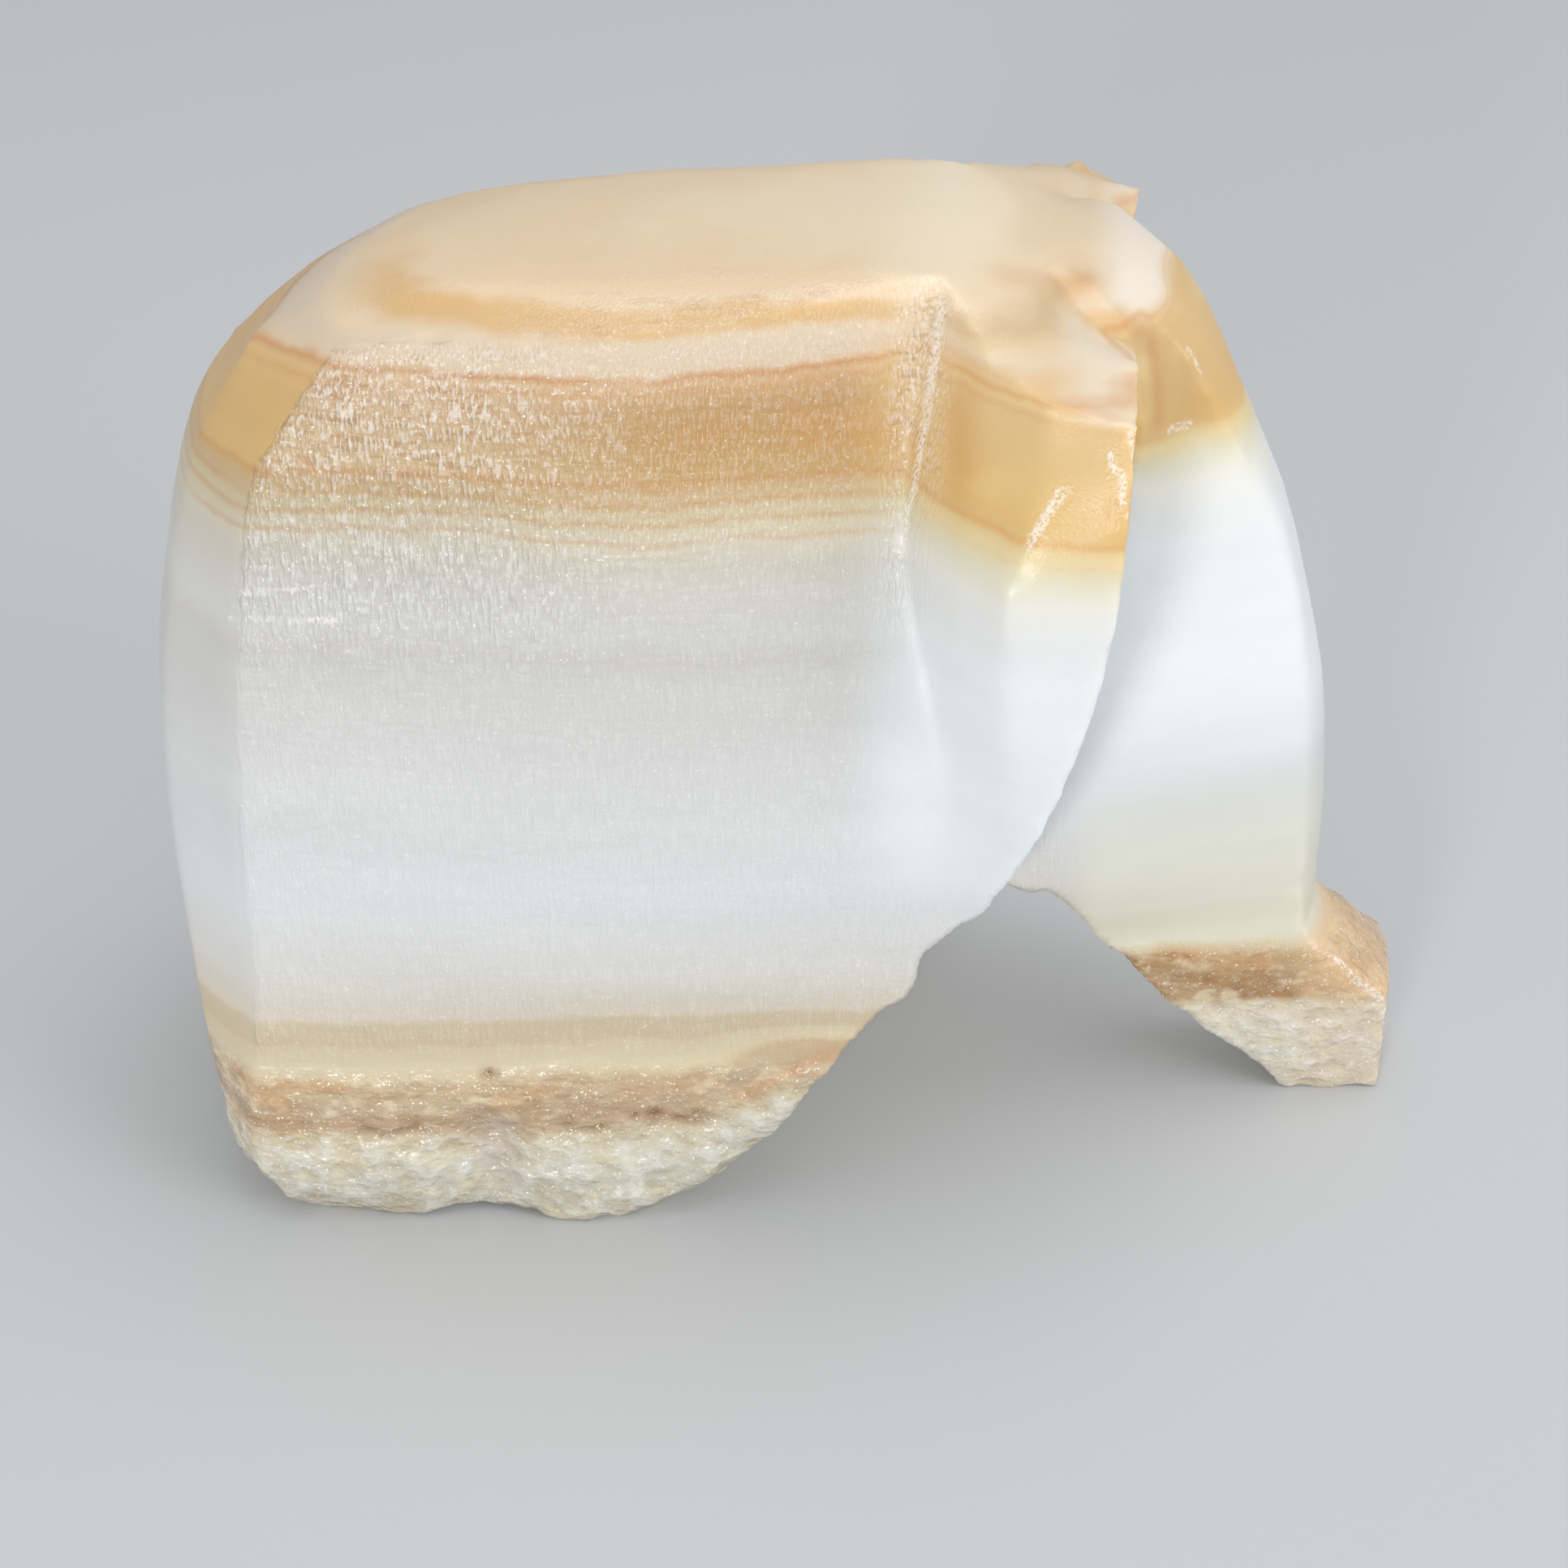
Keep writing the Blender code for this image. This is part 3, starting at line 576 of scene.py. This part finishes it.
    # What lies over the layers, in order, as (colour, share, masks that limit it).
    for tone, share, limits in (
        # The honey, gold and cream of the upper layers, and the trunk's pale foot.
        (linear("dcb878"), 0.5, ("honey", "thick", "polished")),
        (linear("c4924e"), 0.4, ("honey", "thin", "broken")),
        (linear("d3a86c"), 0.3, ("honey", "head")),
        (linear("e2c9a5"), 0.75, ("faded",)),
        (linear("f2eadd"), 0.7, ("lobe",)),
        (linear("d2934a"), 0.8, ("line", "broken", "thin", "beside head")),
        (linear("d9d8c9"), 0.7, ("trunk", "over band")),
        # The granular brown band.
        (linear("e3d3b4"), 0.6, ("band", "pale")),
        (settings.clay_colour, 0.6, ("band", "streaks")),
        (linear("a98350"), 0.5, ("band", "trunk")),
        (linear("95692f"), 0.45, ("band", "trunk", "streaks")),
        (linear("e8d9bd"), 0.35, ("trunk", "crust", "band foot", "pale")),
        (linear("e2c096"), 0.65, ("kick", "band foot")),
        # The milky lumps below the band, painted darker at the knobs' feet and in the hollows
        # as painted shade.
        (linear("c9ad88"), 0.4, ("kick", "lump zone")),
        (linear("e2d6b0"), 0.42, ("lumps", "mottles")),
        (settings.milk_colour, 0.5, ("lumps", "bulge")),
        (settings.milk_colour, 0.3, ("lumps", "knob tops")),
        # Painted shade at the feet of the knobs and in the hollows of the relief.
        (linear("a8946c"), 0.3, ("lumps", "knob feet")),
        (linear("b5a27e"), 0.4, ("lumps", "hollow")),
        (linear("e5dacd"), 0.25, ("lumps", "trunk")),
        (linear("bfb2a6"), 0.6, ("valley",)),
        # Stains and painted crease shade, pits and cracks with painted shade, and bruises and
        # scratches with painted sheen and glints.
        (settings.stain_and_shade_colour, 0.55, ("stain_and_shade",)),
        # Painted shade: dark brown in the pits and cracks.
        (linear("7d5632"), 0.9, ("pit_and_shade",)),
        # Pale haze and white nicks: partly the stone's own whitened scratches, partly painted
        # sheen and glints.
        (linear("ead6ba"), 0.35, ("bruised_and_sheen", "gold")),
        (linear("a87446"), 0.4, ("bruised_and_sheen", "threads", "gold")),
        (linear("f6ebdc"), 0.28, ("bruised_and_sheen", "nicks_and_glints", "gold")),
        (linear("fbfbfb"), 0.22, ("bruised_and_sheen", "nicks_and_glints")),
        (linear("f4f5f5"), 0.1, ("wheel", "nicks_and_glints")),
        (settings.line_colour, 0.8, ("line", "broken", "thick")),
        # White scars along the gouges and the rim: partly bruised stone, partly painted glints.
        (settings.frost_and_glint_colour, 0.6, ("scratch_and_glint", "flecks")),
    ):
        cover = share
        for limit in limits:
            cover = add(tree, "ShaderNodeMath", {0: cover, 1: masks[limit]}, operation="MULTIPLY")
        colour = add(
            tree, "ShaderNodeMix", {0: cover, 6: colour, 7: tone}, out=2, data_type="RGBA")

    # Calcite crystals: white specks about 0.1 mm wide, dense where the stone is bruised or
    # rough; partly the calcite's own white grains, partly painted glints.
    field = add(
        tree, "ShaderNodeMath", {0: masks["bruised_and_sheen"], 1: masks["crust"]}, operation="MAXIMUM")
    field = add(tree, "ShaderNodeMath", {0: field, 1: masks["scar_and_glint"]}, operation="MAXIMUM")
    field = add(
        tree, "ShaderNodeMath", {0: masks["wheel"], 1: 0.4, 2: field},
        operation="MULTIPLY_ADD", use_clamp=True)
    crystals_and_glints = add(tree, "ShaderNodeMath", {0: masks["crystals_and_glints"], 1: field}, operation="MULTIPLY")
    colour = add(
        tree, "ShaderNodeMix", {0: crystals_and_glints, 6: colour, 7: settings.frost_and_glint_colour},
        out=2, data_type="RGBA")

    # Soft clouds drawn out along the layers.
    shade = add(
        tree, "ShaderNodeMapRange",
        {"Value": noises["cloud"], "From Min": 0.3, "From Max": 0.7,
         "To Min": 0.94, "To Max": 1.02})
    colour = add(
        tree, "ShaderNodeMix", {0: 1.0, 6: colour, 7: shade},
        out=2, data_type="RGBA", blend_type="MULTIPLY")
    tree.links.new(colour, shader.inputs["Base Color"])

    # Relief in mm: scratches, grains, and knobs on the crust.
    relief = 0.0
    for source, mask, tall in (
        ("upright", masks["wheel"], 0.06), ("level", masks["wheel"], 0.04),
        ("upright", masks["bruised_and_sheen"], 0.13), ("grain", masks["scar_and_glint"], 0.08),
        ("grain", 1.0, 0.01), ("grain", masks["crust"], 0.03), ("knobs", masks["crust"], 0.5),
    ):
        part = add(tree, "ShaderNodeMath", {0: noises[source], 1: mask}, operation="MULTIPLY")
        relief = add(
            tree, "ShaderNodeMath", {0: part, 1: tall, 2: relief}, operation="MULTIPLY_ADD")
    bump = add(tree, "ShaderNodeBump", {"Height": relief, "Strength": 1.0, "Distance": MM})
    tree.links.new(bump, shader.inputs["Normal"])

    # Satin on the waxed faces, duller where the wheel left grain, wet-looking on the crust.
    roughness = add(
        tree, "ShaderNodeMath", {0: noises["grain"], 1: 0.2, 2: 0.28}, operation="MULTIPLY_ADD")
    for mask, change in ((masks["crust"], -0.26), (crystals_and_glints, -0.2)):
        roughness = add(
            tree, "ShaderNodeMath", {0: mask, 1: change, 2: roughness}, operation="MULTIPLY_ADD")
    tree.links.new(roughness, shader.inputs["Roughness"])

    # Light goes about a millimetre in, red a little deeper than blue.
    shader.subsurface_method = "BURLEY"
    shader.inputs["IOR"].default_value = 1.55
    shader.inputs["Subsurface Weight"].default_value = 0.6
    shader.inputs["Subsurface Radius"].default_value = (1.0, 0.85, 0.7)
    shader.inputs["Subsurface Scale"].default_value = settings.scatter
    return material


class ONYX_OT_carving(bpy.types.Operator):
    """Carve the elephant over its solid and give it its banded onyx"""
    bl_idname = "onyx.carving"
    bl_label = "Carve the Elephant"

    def execute(self, context):
        settings = context.scene.onyx
        piece = merged_copy("onyx_elephant", NODE)
        fine_mesh(piece, settings.grid, settings.softening)
        if not piece.data.polygons:
            raise RuntimeError("Meshing the carving anew left no faces")
        carve_surface(piece, settings)
        for face in piece.data.polygons:
            face.use_smooth = True
        piece.data.materials.append(banded_onyx(settings))
        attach(piece, "root")
        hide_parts(NODE)
        return {"FINISHED"}


class ONYX_OT_stage(bpy.types.Operator):
    """Lay the floor, hang the lights and set up the camera"""
    bl_idname = "onyx.stage"
    bl_label = "Set the Stage"

    def execute(self, context):
        scene = context.scene
        settings = scene.onyx_stage
        half = settings.floor / 2
        bm = bmesh.new()
        bmesh.ops.create_grid(bm, x_segments=1, y_segments=1, size=half)
        mesh = bpy.data.meshes.new("floor")
        bm.to_mesh(mesh)
        bm.free()
        floor = bpy.data.objects.new("floor", mesh)
        scene.collection.objects.link(floor)
        # Matt paper scatters light evenly, so only the carving's soft shadow shows on it.
        paper = bpy.data.materials.new("pale_matt_paper")
        paper.use_nodes = True
        shader = paper.node_tree.nodes["Principled BSDF"]
        shader.inputs["Base Color"].default_value = (*settings.floor_colour, 1.0)
        shader.inputs["Roughness"].default_value = 0.7
        mesh.materials.append(paper)

        world = bpy.data.worlds.new("studio")
        world.use_nodes = True
        sky = world.node_tree.nodes["Background"]
        sky.inputs["Color"].default_value = (*linear("f3f6fa"), 1.0)
        sky.inputs["Strength"].default_value = 0.67
        scene.world = world
        # Soft round lamps, as (place, width in metres, power in watts).
        for name, place, size, power in (
            ("top_light", (0.08, 0.02, 0.42), 0.30, 0.45),
            ("front_light", (-0.16, -0.41, 0.12), 0.08, 0.8),
            ("right_light", (0.36, -0.22, 0.18), 0.24, 0.6),
        ):
            data = bpy.data.lights.new(name, "AREA")
            data.shape = "DISK"
            data.size = size
            data.energy = power
            light = bpy.data.objects.new(name, data)
            scene.collection.objects.link(light)
            light.location = place
            aim = Vector(BODY_MIDDLE) - Vector(place)
            light.rotation_euler = aim.to_track_quat("-Z", "Y").to_euler()

        lens = bpy.data.cameras.new("camera")
        lens.sensor_width = SENSOR
        lens.lens = SENSOR * FOCAL_PIXELS / PICTURE_PIXELS
        lens.clip_start = 0.005
        lens.clip_end = 50.0
        camera = bpy.data.objects.new("camera", lens)
        scene.collection.objects.link(camera)
        back = Vector((0.0, -math.cos(settings.elevation), math.sin(settings.elevation)))
        camera.location = Vector(VIEW_MIDDLE) + back * settings.distance
        camera.rotation_euler = back.to_track_quat("Z", "Y").to_euler()
        scene.camera = camera
        scene.view_settings.view_transform = "Standard"
        return {"FINISHED"}


class ONYX_PT_panel(bpy.types.Panel):
    """Sizes and steps of the carving"""
    bl_idname = "ONYX_PT_panel"
    bl_label = "Onyx Elephant"
    bl_space_type = "VIEW_3D"
    bl_region_type = "UI"
    bl_category = "Onyx"

    def draw(self, context):
        for group, operator in (("onyx", "onyx.carving"), ("onyx_stage", "onyx.stage")):
            box = self.layout.box()
            settings = getattr(context.scene, group)
            for name in settings.bl_rna.properties.keys():
                if name not in ("rna_type", "name"):
                    box.prop(settings, name)
            box.operator(operator)


CLASSES = (OnyxSettings, StageSettings, ONYX_OT_carving, ONYX_OT_stage, ONYX_PT_panel)


def register():
    for cls in CLASSES:
        bpy.utils.register_class(cls)
    bpy.types.Scene.onyx = bpy.props.PointerProperty(type=OnyxSettings)
    bpy.types.Scene.onyx_stage = bpy.props.PointerProperty(type=StageSettings)


def unregister():
    del bpy.types.Scene.onyx_stage
    del bpy.types.Scene.onyx
    for cls in reversed(CLASSES):
        bpy.utils.unregister_class(cls)


def main():
    register()
    bpy.ops.onyx.carving()
    bpy.ops.onyx.stage()


if __name__ == "__main__":
    main()
